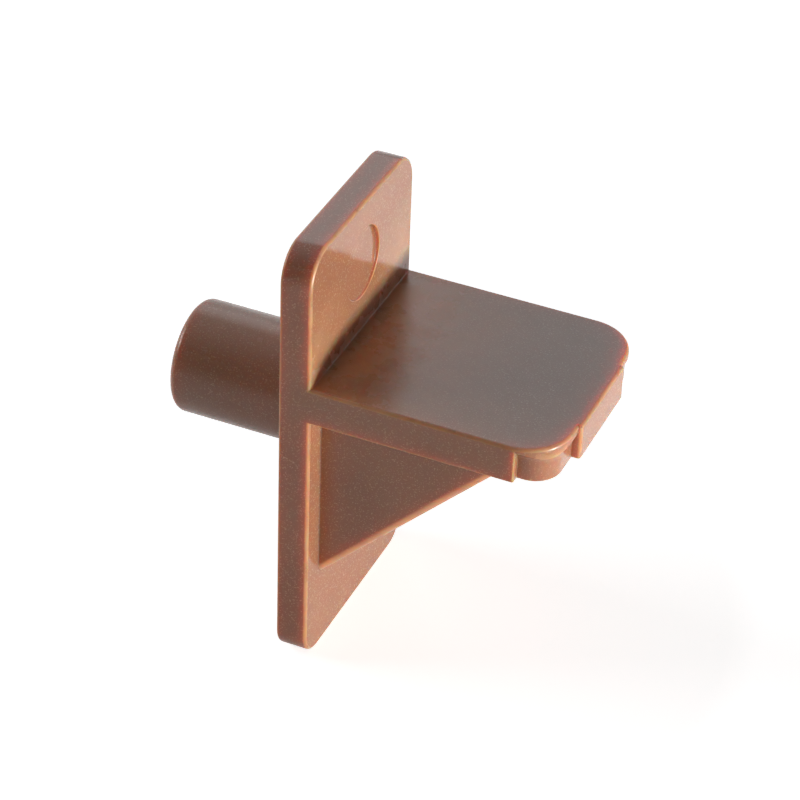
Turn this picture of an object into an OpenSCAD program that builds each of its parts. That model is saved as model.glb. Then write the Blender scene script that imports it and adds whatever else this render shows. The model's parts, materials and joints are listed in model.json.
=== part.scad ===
// Shelf support pin, moulded in one piece from brown plastic.
// The pin pushes into a hole in the side of a cabinet, the plate bears on that side,
// and the shelf rests on the ledge, which two webs brace from below.
// The origin is where the axis of the pin meets the back face of the plate.
// X points away from the wall along the ledge, Y runs across it, and Z is up.

/* [Pin] */
// Diameter of the pin, which fills a quarter inch hole
pin_d = 6.35; // [5:0.05:8]
// Length of the pin behind the plate
pin_l = 8.1; // [6:0.1:12]
// Radius of the rounded rim at the end of the pin
pin_end_r = 0.45; // [0.2:0.05:1]

/* [Plate] */
// Width of the plate and of the ledge
plate_w = 12.7; // [12:0.1:16]
// Thickness of the plate
plate_t = 1.8; // [1.5:0.1:2.6]
// Height of the plate above the axis of the pin
plate_rise = 12.5; // [11.5:0.1:15]
// Depth of the plate below the axis of the pin
plate_drop = 13.4; // [12:0.1:16]
// Radius of the two upper corners of the plate
plate_top_corner_r = 1.9; // [1:0.1:3]
// Radius of the two lower corners of the plate
plate_low_corner_r = 1.5; // [1:0.1:3]

/* [Ledge] */
// Length of the ledge in front of the plate
ledge_l = 13.7; // [13.2:0.1:18]
// Thickness of the ledge
ledge_t = 2.15; // [2:0.05:3]
// Height of the top of the ledge above the axis of the pin
ledge_rise = 4.7; // [4:0.1:6]
// Radius of the two front corners of the ledge, at its top face
ledge_corner_r = 2.6; // [2.4:0.1:2.8]

/* [Corner reliefs] */
// How far the wall of a relief stands back from the side and the front of the ledge
relief_depth = 0.5; // [0.45:0.05:0.7]
// Radius of the corner of that wall
relief_corner_r = 1.5; // [1.3:0.1:1.6]
// Length of a relief along the side of the ledge, from the tip
relief_l = 2.35; // [2.35:0.05:4]
// Width of the full pad that is left between the two reliefs at the tip
front_pad_w = 6.1; // [4:0.1:7]
// How far that pad stands out in front of the rim beside it
front_pad_lift = 0.2; // [0.1:0.05:0.3]
// Radius of the cove that flares a relief out to the rim above it
relief_cove_r = 1.0; // [0.8:0.1:1.2]
// Height of the full rim that is left above a relief
relief_rim_h = 0.25; // [0.25:0.05:0.4]

/* [Webs] */
// Reach of the webs along the underside of the ledge, from the plate
web_reach = 10.9; // [8:0.1:11.5]
// Depth of the webs down the front of the plate, from the underside of the ledge
web_drop = 10.95; // [8:0.05:12]
// Thickness of each web
web_t = 1.4; // [1.1:0.1:2.4]
// How far the outer face of a web stands in from the side of the ledge
web_inset = 1.45; // [1.2:0.05:2]
// Radius of the rounded edges along the slope of a web
web_edge_r = 0.5; // [0.1:0.05:0.65]

/* [Mark recess] */
// Diameter of the round recess in the front of the plate
mark_d = 4.1; // [3:0.1:5]
// Depth of that recess
mark_depth = 0.15; // [0.1:0.05:0.4]
// Height of the centre of that recess above the ledge
mark_rise = 4.1; // [3:0.1:4.5]

/* [Edges] */
// Radius of the rounded edges of the plate and of the top of the ledge
edge_r = 0.15; // [0.1:0.05:0.2]

/* [Hidden] */
$fn = 64;
brown = [0.52, 0.30, 0.21];
half_w = plate_w / 2;
tip_x = plate_t + ledge_l;
ledge_low = ledge_rise - ledge_t;
// The sub-parts run this far into each other, so that they are one solid
bite = plate_t / 3;
// A front corner of the ledge turns about one upright axis, and the wall of its relief about another
corner_x = tip_x - front_pad_lift - ledge_corner_r;
corner_y = half_w - ledge_corner_r;
relief_x = tip_x - relief_l;
wall_x = tip_x - relief_depth - relief_corner_r;
wall_y = half_w - relief_depth - relief_corner_r;
cove_h = sqrt(pow(relief_cove_r, 2) - pow(relief_cove_r - relief_depth, 2));
cove_z = ledge_rise - relief_rim_h - cove_h;

// Section of the border of a slab: it reaches out from zero to its rounded outer edges
module border_section(reach, height, r_low, r_high) {
    square([reach - max(r_low, r_high), height]);
    translate([0, r_low])
        square([reach, height - r_low - r_high]);
    if (r_low > 0)
        translate([reach - r_low, r_low])
            circle(r_low);
    if (r_high > 0)
        translate([reach - r_high, height - r_high])
            circle(r_high);
}

// Sweeps a section round a quarter turn about the upright axis at x, y
module round_corner(x, y, turn)
    translate([x, y, 0])
        rotate_extrude(angle = 90, start = turn)
            children();

// Sweeps a section straight from x, y, clockwise as seen from above
module straight_run(x, y, turn, length)
    translate([x, y, 0])
        rotate([90, 0, turn])
            linear_extrude(length)
                children();

// The pin, turned about its axis, with the rim of its end rounded
module pin()
    translate([bite, 0, 0])
        rotate([0, -90, 0])
            rotate_extrude()
                border_section(pin_d / 2, pin_l + bite, 0, pin_end_r);

// The plate lying on its back, with its top towards x: a flat core inside a rounded border
module flat_plate() {
    high = plate_rise - plate_top_corner_r;
    low = plate_low_corner_r - plate_drop;
    high_side = half_w - plate_top_corner_r;
    low_side = half_w - plate_low_corner_r;
    border = max(plate_top_corner_r, plate_low_corner_r);
    linear_extrude(plate_t)
        polygon([[high, high_side], [low, low_side], [low, -low_side], [high, -high_side]]);
    round_corner(high, high_side, 0) plate_section(plate_top_corner_r);
    round_corner(low, low_side, 90) plate_section(plate_low_corner_r);
    round_corner(low, -low_side, 180) plate_section(plate_low_corner_r);
    round_corner(high, -high_side, 270) plate_section(plate_top_corner_r);
    straight_run(high, high_side, 0, 2 * high_side) plate_section(plate_top_corner_r);
    straight_run(low, half_w - border, 90, high - low) plate_section(border);
    straight_run(low, -low_side, 180, 2 * low_side) plate_section(plate_low_corner_r);
    straight_run(high, border - half_w, 270, high - low) plate_section(border);
}

module plate_section(reach)
    border_section(reach, plate_t, edge_r, edge_r);

// The round recess above the ledge is left bare
module mark_recess()
    translate([plate_t - mark_depth, 0, ledge_rise + mark_rise])
        rotate([0, 90, 0])
            cylinder(d = mark_d, h = 2 * mark_depth);

module plate()
    difference() {
        rotate([0, -90, 0])
            translate([0, 0, -plate_t])
                flat_plate();
        mark_recess();
    }

module ledge_section()
    translate([0, ledge_low])
        border_section(ledge_corner_r, ledge_t, 0, edge_r);

// The ledge before its front corners are relieved, without its front pad
module ledge_blank() {
    back_x = plate_t - bite;
    length = corner_x - back_x;
    translate([back_x, -corner_y, ledge_low])
        cube([length, 2 * corner_y, ledge_t]);
    round_corner(corner_x, corner_y, 0) ledge_section();
    round_corner(corner_x, -corner_y, 270) ledge_section();
    straight_run(corner_x, corner_y, 0, 2 * corner_y) ledge_section();
    straight_run(back_x, corner_y, 90, length) ledge_section();
    straight_run(corner_x, -corner_y, 270, length) ledge_section();
}

// What a relief takes away: all that is outside its upright wall and below the cove
module relief_section() {
    below = ledge_low - ledge_t;
    translate([relief_corner_r, below])
        square([2 * relief_cove_r, cove_z - below]);
    translate([relief_corner_r + relief_cove_r, cove_z])
        circle(relief_cove_r);
}

// The reliefs run from the side pads round both front corners, and meet behind the front pad
module reliefs() {
    straight_run(relief_x, wall_y, 90, wall_x - relief_x) relief_section();
    round_corner(wall_x, wall_y, 0) relief_section();
    straight_run(wall_x, wall_y, 0, 2 * wall_y) relief_section();
    round_corner(wall_x, -wall_y, 270) relief_section();
    straight_run(wall_x, -wall_y, 270, wall_x - relief_x) relief_section();
}

module front_pad()
    straight_run(relief_x, front_pad_w / 2, 0, front_pad_w)
        translate([0, ledge_low])
            border_section(relief_l, ledge_t, 0, edge_r);

module ledge() {
    difference() {
        ledge_blank();
        reliefs();
    }
    front_pad();
}

// One web: a bar with two rounded edges lies along the slope, cut off inside the plate and the ledge
module web() {
    slope = atan2(web_drop, web_reach);
    foot_z = ledge_low - web_drop;
    depth = max(web_reach, web_drop);
    length = norm([web_reach, web_drop]);
    translate([0, half_w - web_inset - web_t, 0])
        intersection() {
            translate([plate_t - bite, 0, foot_z - bite])
                cube([web_reach + 2 * bite, web_t, web_drop + 2 * bite]);
            translate([plate_t, 0, foot_z])
                rotate([0, -slope, 0])
                    translate([-length, 0, depth])
                        rotate([0, 90, 0])
                            linear_extrude(3 * length)
                                border_section(depth, web_t, web_edge_r, web_edge_r);
        }
}

module webs() {
    web();
    mirror([0, 1, 0])
        web();
}

module shelf_support()
    color(brown) {
        pin();
        plate();
        ledge();
        webs();
    }

shelf_support();
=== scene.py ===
import json
from math import acos, pi, radians, sin

import bmesh
import bpy
from mathutils import Matrix, Vector


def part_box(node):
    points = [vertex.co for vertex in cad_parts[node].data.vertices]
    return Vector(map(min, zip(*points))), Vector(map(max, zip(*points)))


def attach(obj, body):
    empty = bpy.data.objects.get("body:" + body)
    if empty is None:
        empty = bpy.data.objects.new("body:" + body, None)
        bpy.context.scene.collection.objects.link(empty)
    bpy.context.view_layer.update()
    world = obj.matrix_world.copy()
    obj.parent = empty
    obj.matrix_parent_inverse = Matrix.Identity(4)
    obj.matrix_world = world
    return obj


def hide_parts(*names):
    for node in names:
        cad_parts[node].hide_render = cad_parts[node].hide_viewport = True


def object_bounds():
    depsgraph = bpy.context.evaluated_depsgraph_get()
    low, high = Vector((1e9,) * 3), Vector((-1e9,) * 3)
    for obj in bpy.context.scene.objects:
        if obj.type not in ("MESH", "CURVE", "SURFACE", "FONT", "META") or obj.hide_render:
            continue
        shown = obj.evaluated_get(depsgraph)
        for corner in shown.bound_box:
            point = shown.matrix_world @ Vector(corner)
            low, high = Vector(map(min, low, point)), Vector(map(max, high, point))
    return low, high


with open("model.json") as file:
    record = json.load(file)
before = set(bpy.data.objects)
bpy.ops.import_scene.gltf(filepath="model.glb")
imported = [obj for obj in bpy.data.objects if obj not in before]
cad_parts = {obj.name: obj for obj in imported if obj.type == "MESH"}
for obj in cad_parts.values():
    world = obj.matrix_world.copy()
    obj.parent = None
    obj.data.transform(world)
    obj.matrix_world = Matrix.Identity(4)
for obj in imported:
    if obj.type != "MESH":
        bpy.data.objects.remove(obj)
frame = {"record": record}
cad_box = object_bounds()
scene = bpy.context.scene

# The shelf support, one solid piece: a pin for a hole in the cabinet's side, the plate that bears
# on that side, the ledge under the shelf and the two webs that brace it. It is injection moulded
# in brown nylon, in a polished mould that opens along the pin.
MM = 0.001
low, high = (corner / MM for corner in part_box("shelf_support"))
mounts = {mount["name"]: mount for mount in frame["record"]["mounts"]}

# The plate: a slab with round corners, its edges rounded front and back
half_w = high.y
plate_t = 1.8
plate_top_corner_r = 1.9
plate_low_corner_r = 1.5
corner_steps = 16
edge_r = 0.2
edge_steps = 5
closeness = 1e-4


def add_box(bm, start, end):
    """Adds a box that fills the space between two opposite corners."""
    size = Vector(end) - Vector(start)
    place = Matrix.Translation(Vector(start) + size / 2) @ Matrix.Diagonal((*size, 1))
    bmesh.ops.create_cube(bm, size=1, matrix=place)


def edges_along(bm, axis):
    """The edges that run along an axis: 0, 1 or 2 for x, y or z."""
    return [e for e in bm.edges
            if abs((e.verts[1].co - e.verts[0].co).normalized()[axis]) > 1 - closeness]


def edges_at(bm, axis, place):
    """The edges that lie in the plane across an axis at a place on it."""
    return [e for e in bm.edges if all(abs(v.co[axis] - place) < closeness for v in e.verts)]


def round_edges(bm, edges, radius, steps):
    """Rounds edges to a radius, in so many steps over the turn."""
    bmesh.ops.bevel(bm, geom=edges, offset=radius, offset_type="OFFSET", segments=steps,
                    profile=0.5, affect="EDGES", material=-1, clamp_overlap=False)


def make_object(name, bm):
    """Turns a finished mesh into an object in the scene."""
    bmesh.ops.recalc_face_normals(bm, faces=bm.faces)
    mesh = bpy.data.meshes.new(name)
    bm.to_mesh(mesh)
    bm.free()
    made = bpy.data.objects.new(name, mesh)
    scene.collection.objects.link(made)
    return made


bm = bmesh.new()
add_box(bm, (0, -half_w, low.z), (plate_t, half_w, high.z))
top_corners = [e for e in edges_along(bm, 0) if e.verts[0].co.z > 0]
round_edges(bm, top_corners, plate_top_corner_r, corner_steps)
low_corners = [e for e in edges_along(bm, 0) if e.verts[0].co.z < low.z + closeness]
round_edges(bm, low_corners, plate_low_corner_r, corner_steps)
for face_x in (0, plate_t):
    round_edges(bm, edges_at(bm, 0, face_x), edge_r, edge_steps)
plate = make_object("plate", bm)

# The pin, which runs a little way into the plate, with the rim of its end rounded
pin_r = mounts["pin"]["dims"]["r_mm"]
pin_end_r = 0.45
pin_end_steps = 8
bite = plate_t / 3
pin_length = bite - low.x


def add_round_bar(bm, radius, length, middle, turn):
    """Adds a round bar, turned about Y from upright, with its middle at a place."""
    place = Matrix.Translation(middle) @ Matrix.Rotation(turn, 4, "Y")
    bmesh.ops.create_cone(bm, cap_ends=True, segments=96, radius1=radius, radius2=radius,
                          depth=length, matrix=place)


bm = bmesh.new()
add_round_bar(bm, pin_r, pin_length, (bite - pin_length / 2, 0, 0), radians(90))
round_edges(bm, edges_at(bm, 0, low.x), pin_end_r, pin_end_steps)
pin = make_object("pin", bm)

# The ledge is a thin rim with a body below it. Round its front a wall stands back behind the rim,
# and flares out to the rim in a cove. Rim and wall are grown downward, a little too big on all
# sides, and what lies outside the ledge's own outline is then cut away.
ledge_top = mounts["ledge_top"]["pos_m"][2] / MM
ledge_t = 2.15
ledge_corner_r = 2.6
relief_depth = 0.5
relief_corner_r = 1.5
cove_r = 1.0
cove_steps = 8
rim_h = 0.25
front_pad_lift = 0.2
small_r = 0.1
small_steps = 3
spare = 0.3
near_wall = 0.01
tip_x = high.x
ledge_back = plate_t - bite
ledge_low = ledge_top - ledge_t
rim_z = ledge_top - rim_h
wall_x = tip_x - relief_depth - relief_corner_r
wall_y = half_w - relief_depth - relief_corner_r
cove_turn = acos(1 - relief_depth / cove_r)
cove_z = rim_z - cove_r * sin(cove_turn)


def join_forms(base, others):
    """Joins forms to a base form or cuts them from it, and returns the mesh that comes out."""
    for form, operation in others:
        joining = base.modifiers.new(form.name, "BOOLEAN")
        joining.object = form
        joining.operation = operation
        joining.solver = "EXACT"
    bm = bmesh.new()
    bm.from_object(base, bpy.context.evaluated_depsgraph_get())
    for form in [base] + [form for form, operation in others]:
        bpy.data.objects.remove(form)
    bmesh.ops.remove_doubles(bm, verts=bm.verts, dist=closeness)
    bmesh.ops.dissolve_limit(bm, angle_limit=radians(0.2), verts=bm.verts, edges=bm.edges)
    return bm


# Rim and wall: a block with round corners, whose underside is drawn in and then grown down through
# the heights of the cove's steps, to below the ledge
bm = bmesh.new()
add_box(bm, (ledge_back - spare, -half_w - spare, rim_z),
        (tip_x + spare, half_w + spare, ledge_top + spare))
front_corners = [e for e in edges_along(bm, 2) if e.verts[0].co.x > plate_t]
round_edges(bm, front_corners, relief_corner_r + relief_depth + spare, corner_steps)
underside = [f for f in bm.faces if f.normal.z < -closeness]
bmesh.ops.inset_region(bm, faces=underside, thickness=relief_depth + spare, use_even_offset=True)
turns = [cove_turn * (1 - (step + 1) / cove_steps) for step in range(cove_steps)]
for level in [cove_z + cove_r * sin(turn) for turn in turns] + [ledge_low - spare]:
    grown = bmesh.ops.extrude_face_region(bm, geom=underside)["geom"]
    bmesh.ops.delete(bm, geom=underside, context="FACES")
    underside = [g for g in grown if isinstance(g, bmesh.types.BMFace)]
    for vert in {v for f in underside for v in f.verts}:
        vert.co.z = level

# What was grown stands straight, so the part above the wall is flared out along the cove's arc
for vert in bm.verts:
    spine = Vector((min(vert.co.x, wall_x), max(-wall_y, min(wall_y, vert.co.y)), vert.co.z))
    outward = vert.co - spine
    if abs(outward.length - relief_corner_r) < near_wall:
        rise = min(max(vert.co.z - cove_z, 0) / cove_r, sin(cove_turn))
        flare = cove_r * (1 - (1 - rise ** 2) ** 0.5)
        vert.co = spine + outward.normalized() * (relief_corner_r + flare)
relieved = make_object("relieved", bm)

bm = bmesh.new()
add_box(bm, (ledge_back, -half_w, ledge_low), (tip_x - front_pad_lift, half_w, ledge_top))
front_corners = [e for e in edges_along(bm, 2) if e.verts[0].co.x > plate_t]
round_edges(bm, front_corners, ledge_corner_r, corner_steps)
round_edges(bm, edges_at(bm, 2, ledge_top), edge_r, edge_steps)
bm = join_forms(make_object("outline", bm), [(relieved, "INTERSECT")])
round_edges(bm, edges_at(bm, 2, ledge_low), small_r, small_steps)
ledge_rim = make_object("ledge_rim", bm)

# The body between the plate and the reliefs is as wide as the rim, and its rounded top edges are
# inside the rim. The pad in the middle of the front stands a little proud of the rim beside it.
relief_l = 2.35
front_pad_w = 6.1
overlap = 0.01
relief_x = tip_x - relief_l
body_top = rim_z + small_r + overlap
bm = bmesh.new()
add_box(bm, (ledge_back, -half_w, ledge_low), (relief_x, half_w, body_top))
round_edges(bm, bm.edges[:], small_r, small_steps)
ledge_body = make_object("ledge_body", bm)
bm = bmesh.new()
add_box(bm, (relief_x, -front_pad_w / 2, ledge_low), (tip_x, front_pad_w / 2, ledge_top))
round_edges(bm, bm.edges[:], edge_r, edge_steps)
front_pad = make_object("front_pad", bm)

# The webs: two triangles with rounded edges along their slope, cut from two blocks by one plane
web_reach = 10.9
web_drop = 10.95
web_t = 1.4
web_inset = 1.45
web_edge_r = 0.5
foot_z = ledge_low - web_drop
slope_normal = Vector((web_drop, 0, -web_reach)).normalized()
slope_foot = Vector((plate_t, 0, foot_z))
bm = bmesh.new()
for inner_y in (half_w - web_inset - web_t, web_inset - half_w):
    add_box(bm, (plate_t - bite, inner_y, foot_z - 2 * bite),
            (plate_t + web_reach + 2 * bite, inner_y + web_t, ledge_low + bite))
bmesh.ops.bisect_plane(bm, geom=bm.verts[:] + bm.edges[:] + bm.faces[:], plane_co=slope_foot,
                       plane_no=slope_normal, dist=closeness, clear_outer=True)
bmesh.ops.holes_fill(bm, edges=bm.edges)
slope_edges = [e for e in bm.edges
               if all(abs((v.co - slope_foot).dot(slope_normal)) < closeness for v in e.verts)
               and abs(e.verts[0].co.y - e.verts[1].co.y) < closeness]
round_edges(bm, slope_edges, web_edge_r, edge_steps)
webs = make_object("webs", bm)

# The round recess in the front of the plate, which is left bare. Its floor leans a little, so that
# the recess is deeper at the top.
mark_d = 4.1
mark_depth = 0.2
mark_lean = radians(2)
mark_rise = 4.1
mark_z = ledge_top + mark_rise
bm = bmesh.new()
add_round_bar(bm, mark_d / 2, 2 * mark_depth, (plate_t, 0, mark_z), radians(90) - mark_lean)
recess = make_object("recess", bm)

# All of it is one moulding, so the forms become one skin
added = [(form, "UNION") for form in (ledge_rim, ledge_body, front_pad, webs, pin)]
bm = join_forms(plate, added + [(recess, "DIFFERENCE")])

# The hollows where pin, plate, ledge and webs meet are rounded, up to the rounded edges at the
# sides, and so are the rim and the foot of the recess
hollow_r = 0.06
hollow_turn = radians(30)
hollows = [e for e in bm.edges
           if e.calc_face_angle_signed() < -hollow_turn
           and max(abs(v.co.y) for v in e.verts) < half_w - edge_r + closeness
           and max(v.co.x for v in e.verts) < relief_x - small_r
           and e.verts[0].co.z < ledge_top + closeness]
round_edges(bm, hollows, hollow_r, small_steps)
mark_edge_r = 0.06
mark_edges = [e for e in bm.edges
              if all(abs(Vector((v.co.y, v.co.z - mark_z)).length - mark_d / 2) < near_wall
                     for v in e.verts)
              and abs(e.verts[0].co.x - e.verts[1].co.x) < e.calc_length() / 2]
round_edges(bm, mark_edges, mark_edge_r, small_steps)

# The middle of each rounding is marked for the material, which paints a paler highlight line there
# and makes it a little duller. Its steps turn by 18 or 30 degrees each, and those of the round
# corners by less.
least_turn = radians(16)
most_turn = radians(40)
sharp_turn = radians(35)
highlight_layer = bm.verts.layers.float.new("painted_highlight_edge")
for vert in bm.verts:
    if least_turn < max(e.calc_face_angle_signed() for e in vert.link_edges) < most_turn:
        vert[highlight_layer] = 1
bmesh.ops.scale(bm, vec=(MM, MM, MM), verts=bm.verts)
for face in bm.faces:
    face.smooth = True
support = make_object("support_moulding", bm)
support.data.set_sharp_from_angle(angle=sharp_turn)
flat_faces = support.modifiers.new("flat_faces", "WEIGHTED_NORMAL")
flat_faces.keep_sharp = True


def linear(hex_colour):
    """Turns an sRGB hex colour into the linear RGBA that a shader takes."""
    parts = [int(hex_colour[i:i + 2], 16) / 255 for i in (1, 3, 5)]
    return [p / 12.92 if p <= 0.04045 else ((p + 0.055) / 1.055) ** 2.4 for p in parts] + [1]


def empty_tree(owner):
    """Gives a new material or world a node tree with nothing in it."""
    owner.use_nodes = True
    owner.node_tree.nodes.clear()
    return owner.node_tree


def add_node(tree, kind, settings, inputs):
    """Adds a node, sets its properties, and sets or links its sockets."""
    node = tree.nodes.new(kind)
    for name, value in settings.items():
        setattr(node, name, value)
    for name, value in inputs.items():
        if isinstance(value, bpy.types.NodeSocket):
            tree.links.new(value, node.inputs[name])
        else:
            node.inputs[name].default_value = value
    return node


# Moulded nylon from a polished mould: glossy, with a mirror that is a little soft and not quite
# flat. Light goes some way into it, so that its edges glow orange next to the light.
nylon = bpy.data.materials.new("moulded_brown_nylon")
tree = empty_tree(nylon)
spot = add_node(tree, "ShaderNodeTexCoord", {}, {})
place = spot.outputs["Object"]

# Pigment that has mixed unevenly as the melt flowed in
cloud_size = 4 * MM
cloud = add_node(tree, "ShaderNodeTexNoise", {}, {
    "Vector": place, "Scale": 1 / cloud_size, "Detail": 3.0,
})
shade = add_node(tree, "ShaderNodeMix", {"data_type": "RGBA"}, {
    0: cloud.outputs["Fac"], 6: linear("#A16B4F"), 7: linear("#B47B5A"),
})

# Paler specks of filler in the melt. The real ones are finer than a pixel, so they are drawn as
# coarse as shows.
speck_size = 0.08 * MM
specks = add_node(tree, "ShaderNodeTexNoise", {}, {
    "Vector": place, "Scale": 1 / speck_size, "Detail": 1.0,
})
speck_share = add_node(tree, "ShaderNodeMapRange", {}, {
    "Value": specks.outputs["Fac"],
    "From Min": 0.58, "From Max": 0.74, "To Min": 0.0, "To Max": 0.7,
})
specked = add_node(tree, "ShaderNodeMix", {"data_type": "RGBA"}, {
    0: speck_share.outputs["Result"], 6: shade.outputs[2], 7: linear("#D9B58E"),
})

# Painted highlight: the marked middles of the rounded edges are painted paler, more in some places
# than in others
highlight_patch_size = 1.5 * MM
highlight_patches = add_node(tree, "ShaderNodeTexNoise", {}, {
    "Vector": place, "Scale": 1 / highlight_patch_size, "Detail": 4.0,
})
highlight_share = add_node(tree, "ShaderNodeMapRange", {}, {
    "Value": highlight_patches.outputs["Fac"],
    "From Min": 0.3, "From Max": 0.6, "To Min": 0.4, "To Max": 0.9,
})
edge = add_node(tree, "ShaderNodeAttribute", {"attribute_name": "painted_highlight_edge"}, {})
edge_highlight_and_dullness = add_node(tree, "ShaderNodeMath", {"operation": "MULTIPLY"}, {
    0: edge.outputs["Fac"], 1: highlight_share.outputs["Result"],
})
colour = add_node(tree, "ShaderNodeMix", {"data_type": "RGBA"}, {
    0: edge_highlight_and_dullness.outputs[0], 6: specked.outputs[2], 7: linear("#CE9E72"),
})

# The gloss varies from place to place, as the mould's polish does. The side walls of a mould are
# harder to polish than its faces, and so is the bore for the pin, so the sides and the pin come
# out duller.
polish_size = 0.7 * MM
polish = add_node(tree, "ShaderNodeTexNoise", {}, {
    "Vector": place, "Scale": 1 / polish_size, "Detail": 2.0,
})
softness = add_node(tree, "ShaderNodeMapRange", {}, {
    "Value": polish.outputs["Fac"],
    "From Min": 0.3, "From Max": 0.7, "To Min": 0.10, "To Max": 0.16,
})
facing = add_node(tree, "ShaderNodeSeparateXYZ", {}, {"Vector": spot.outputs["Normal"]})
sideways = add_node(tree, "ShaderNodeMath", {"operation": "ABSOLUTE"}, {0: facing.outputs["Y"]})
dullness = add_node(tree, "ShaderNodeMapRange", {}, {
    "Value": sideways.outputs[0],
    "From Min": 0.6, "From Max": 0.95, "To Min": 0.0, "To Max": 0.25,
})
along = add_node(tree, "ShaderNodeSeparateXYZ", {}, {"Vector": place})
bored = add_node(tree, "ShaderNodeMapRange", {}, {
    "Value": along.outputs["X"],
    "From Min": 0, "From Max": -edge_r * MM, "To Min": 0.0, "To Max": 0.12,
})
moulded = add_node(tree, "ShaderNodeMath", {"operation": "MAXIMUM"}, {
    0: dullness.outputs["Result"], 1: bored.outputs["Result"],
})
sides = add_node(tree, "ShaderNodeMath", {"operation": "ADD"}, {
    0: softness.outputs["Result"], 1: moulded.outputs[0],
})
# The edges with the painted highlight are a little duller as well
finish = add_node(tree, "ShaderNodeMath", {"operation": "MULTIPLY_ADD"}, {
    0: edge_highlight_and_dullness.outputs[0], 1: 0.25, 2: sides.outputs[0],
})

# Flat faces sink a little as they cool, and all faces have a fine grain from the mould. The real
# grain is finer than a tenth of a millimetre, so it is drawn as coarse as shows.
sink_size = 5 * MM
sink_depth = 0.012 * MM
grain_size = 0.15 * MM
grain_depth = 0.002 * MM
sinks = add_node(tree, "ShaderNodeTexNoise", {}, {
    "Vector": place, "Scale": 1 / sink_size, "Detail": 1.0,
})
grain = add_node(tree, "ShaderNodeTexNoise", {}, {
    "Vector": place, "Scale": 1 / grain_size, "Detail": 2.0,
})
sunk = add_node(tree, "ShaderNodeBump", {}, {
    "Height": sinks.outputs["Fac"], "Distance": sink_depth,
})
grained = add_node(tree, "ShaderNodeBump", {}, {
    "Height": grain.outputs["Fac"], "Distance": grain_depth, "Normal": sunk.outputs["Normal"],
})
skin = add_node(tree, "ShaderNodeBsdfPrincipled", {}, {
    "Base Color": colour.outputs[2], "Roughness": finish.outputs[0], "IOR": 1.53,
    "Subsurface Weight": 1.0, "Subsurface Radius": (1.0, 0.25, 0.08),
    "Subsurface Scale": 2.2 * MM, "Normal": grained.outputs["Normal"],
})
add_node(tree, "ShaderNodeOutputMaterial", {}, {"Surface": skin.outputs["BSDF"]})
support.data.materials.append(nylon)
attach(support, "root")
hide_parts("shelf_support")

# The floor: a plain white sheet that the plate's lower edge stands on. What is seen of it directly
# is lifted to white, and it keeps the shadow. In mirrors the lift fades close to the part: a
# painted shade around the part, seen only in reflections.
white = linear("#FFFFFF")
floor_reach = 1500 * MM
painted_shade_to = 13 * MM
clear_from = 28 * MM


def seen_directly(tree):
    """One for the rays of the camera, of gloss and of glass, and zero for those of plain light."""
    rays = add_node(tree, "ShaderNodeLightPath", {}, {})
    camera_or_gloss = add_node(tree, "ShaderNodeMath", {"operation": "MAXIMUM"}, {
        0: rays.outputs["Is Camera Ray"], 1: rays.outputs["Is Glossy Ray"],
    })
    return add_node(tree, "ShaderNodeMath", {"operation": "MAXIMUM"}, {
        0: camera_or_gloss.outputs[0], 1: rays.outputs["Is Transmission Ray"],
    }).outputs[0]


bm = bmesh.new()
bmesh.ops.create_grid(bm, x_segments=1, y_segments=1, size=floor_reach,
                      matrix=Matrix.Translation((0, 0, low.z * MM)))
floor = make_object("floor", bm)
paper = bpy.data.materials.new("white_paper")
tree = empty_tree(paper)
ground_spot = add_node(tree, "ShaderNodeTexCoord", {}, {})
apart = add_node(tree, "ShaderNodeVectorMath", {"operation": "LENGTH"}, {
    0: ground_spot.outputs["Object"],
})
# Painted shade: the lift that reflections see is lower close to the part
mirror_lift_with_painted_shade = add_node(tree, "ShaderNodeMapRange", {}, {
    "Value": apart.outputs["Value"],
    "From Min": painted_shade_to, "From Max": clear_from, "To Min": 0.4, "To Max": 0.85,
})
rays = add_node(tree, "ShaderNodeLightPath", {}, {})
to_camera = add_node(tree, "ShaderNodeMath", {"operation": "MULTIPLY"}, {
    0: rays.outputs["Is Camera Ray"], 1: 0.8,
})
strength = add_node(tree, "ShaderNodeMath", {"operation": "MAXIMUM"}, {
    0: mirror_lift_with_painted_shade.outputs["Result"], 1: to_camera.outputs[0],
})
lift = add_node(tree, "ShaderNodeMath", {"operation": "MULTIPLY"}, {
    0: seen_directly(tree), 1: strength.outputs[0],
})
sheet = add_node(tree, "ShaderNodeBsdfDiffuse", {}, {"Color": linear("#F4F4F4")})
glow = add_node(tree, "ShaderNodeEmission", {}, {"Color": white, "Strength": lift.outputs[0]})
both = add_node(tree, "ShaderNodeAddShader", {}, {0: sheet.outputs[0], 1: glow.outputs[0]})
add_node(tree, "ShaderNodeOutputMaterial", {}, {"Surface": both.outputs[0]})
floor.data.materials.append(paper)

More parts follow.
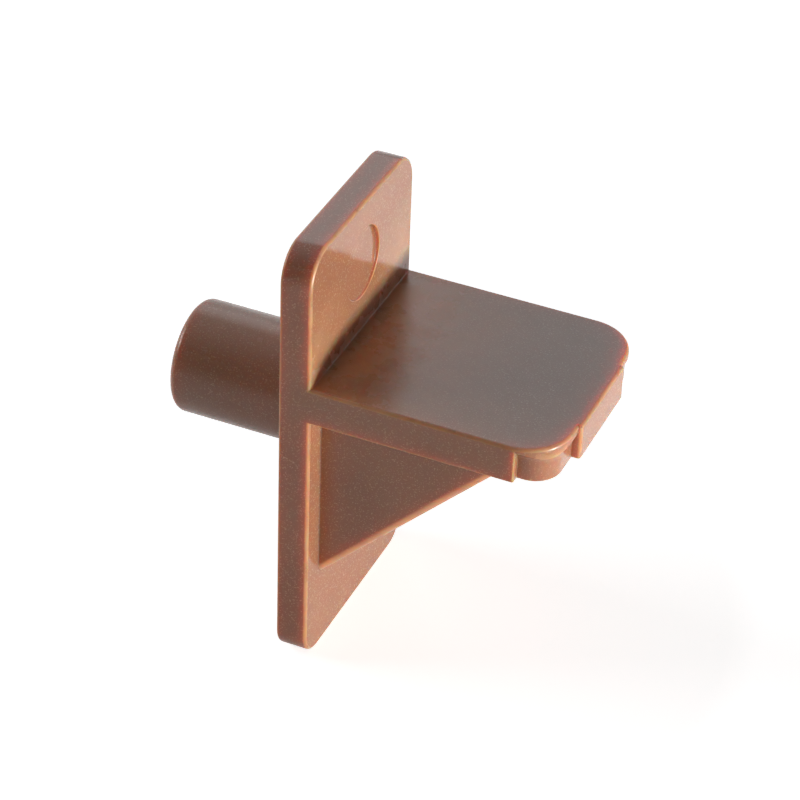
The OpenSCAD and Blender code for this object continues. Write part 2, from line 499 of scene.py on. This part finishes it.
# The room: white where it is seen directly, though dimmer in mirrors towards the camera's side,
# where a studio is unlit, and a weak even light for the rest
room = bpy.data.worlds.new("white_room")
scene.world = room
tree = empty_tree(room)
even = add_node(tree, "ShaderNodeBackground", {}, {"Color": white, "Strength": 0.05})
outlook = add_node(tree, "ShaderNodeTexCoord", {}, {})
direction = add_node(tree, "ShaderNodeSeparateXYZ", {}, {"Vector": outlook.outputs["Generated"]})
walls = add_node(tree, "ShaderNodeMapRange", {}, {
    "Value": direction.outputs["Y"],
    "From Min": -0.7, "From Max": 0.1, "To Min": 0.3, "To Max": 1.0,
})
rays = add_node(tree, "ShaderNodeLightPath", {}, {})
whiteness = add_node(tree, "ShaderNodeMath", {"operation": "MAXIMUM"}, {
    0: rays.outputs["Is Camera Ray"], 1: walls.outputs["Result"],
})
bright = add_node(tree, "ShaderNodeBackground", {}, {
    "Color": white, "Strength": whiteness.outputs[0],
})
shown = add_node(tree, "ShaderNodeMixShader", {}, {
    0: seen_directly(tree), 1: even.outputs[0], 2: bright.outputs[0],
})
add_node(tree, "ShaderNodeOutputWorld", {}, {"Surface": shown.outputs[0]})

# Soft boxes, with places and sizes in metres. The key is a low strip in front of the ledge, just
# above the floor, so that the ledge's root stays in shadow. One box behind gives the ledge its
# sheen, and one lights the pin and the back of the plate.
middle = (cad_box[0] + cad_box[1]) / 2


def add_soft_box(name, position, width, height, brightness):
    """Hangs a soft box that faces the object. Brightness is what a face turned to it receives."""
    lamp = bpy.data.lights.new(name, "AREA")
    lamp.shape = "RECTANGLE"
    lamp.size = width
    lamp.size_y = height
    away = Vector(position) - middle
    lamp.energy = brightness * pi ** 2 * away.length_squared
    box = bpy.data.objects.new(name, lamp)
    box.location = position
    box.rotation_euler = away.to_track_quat("Z", "Y").to_euler()
    scene.collection.objects.link(box)


add_soft_box("key_strip", (0.155, -0.023, -0.009), 0.03, 0.01, 1.25)
add_soft_box("back_box", (-0.093, 0.225, 0.18), 0.15, 0.15, 0.07)
add_soft_box("wall_side_box", (-0.26, -0.06, 0.13), 0.15, 0.1, 0.35)

# The camera, at the photograph's angle
camera_turn = radians(22.643)
camera_rise = radians(35.766)
camera_roll = radians(2.187)
camera_distance = 166.272 * MM
aim = Vector((4.162, 0, 0.776)) * MM
frame_width = 800
focal_length_in_pixels = 3126.43
lens = bpy.data.cameras.new("camera")
lens.sensor_width = 36
lens.lens = focal_length_in_pixels / frame_width * lens.sensor_width
lens.clip_start = 10 * MM
camera = bpy.data.objects.new("camera", lens)
camera.matrix_world = (Matrix.Translation(aim) @ Matrix.Rotation(camera_turn, 4, "Z")
                       @ Matrix.Rotation(radians(90) - camera_rise, 4, "X")
                       @ Matrix.Rotation(camera_roll, 4, "Z")
                       @ Matrix.Translation((0, 0, camera_distance)))
scene.collection.objects.link(camera)
scene.camera = camera
scene.view_settings.view_transform = "Standard"
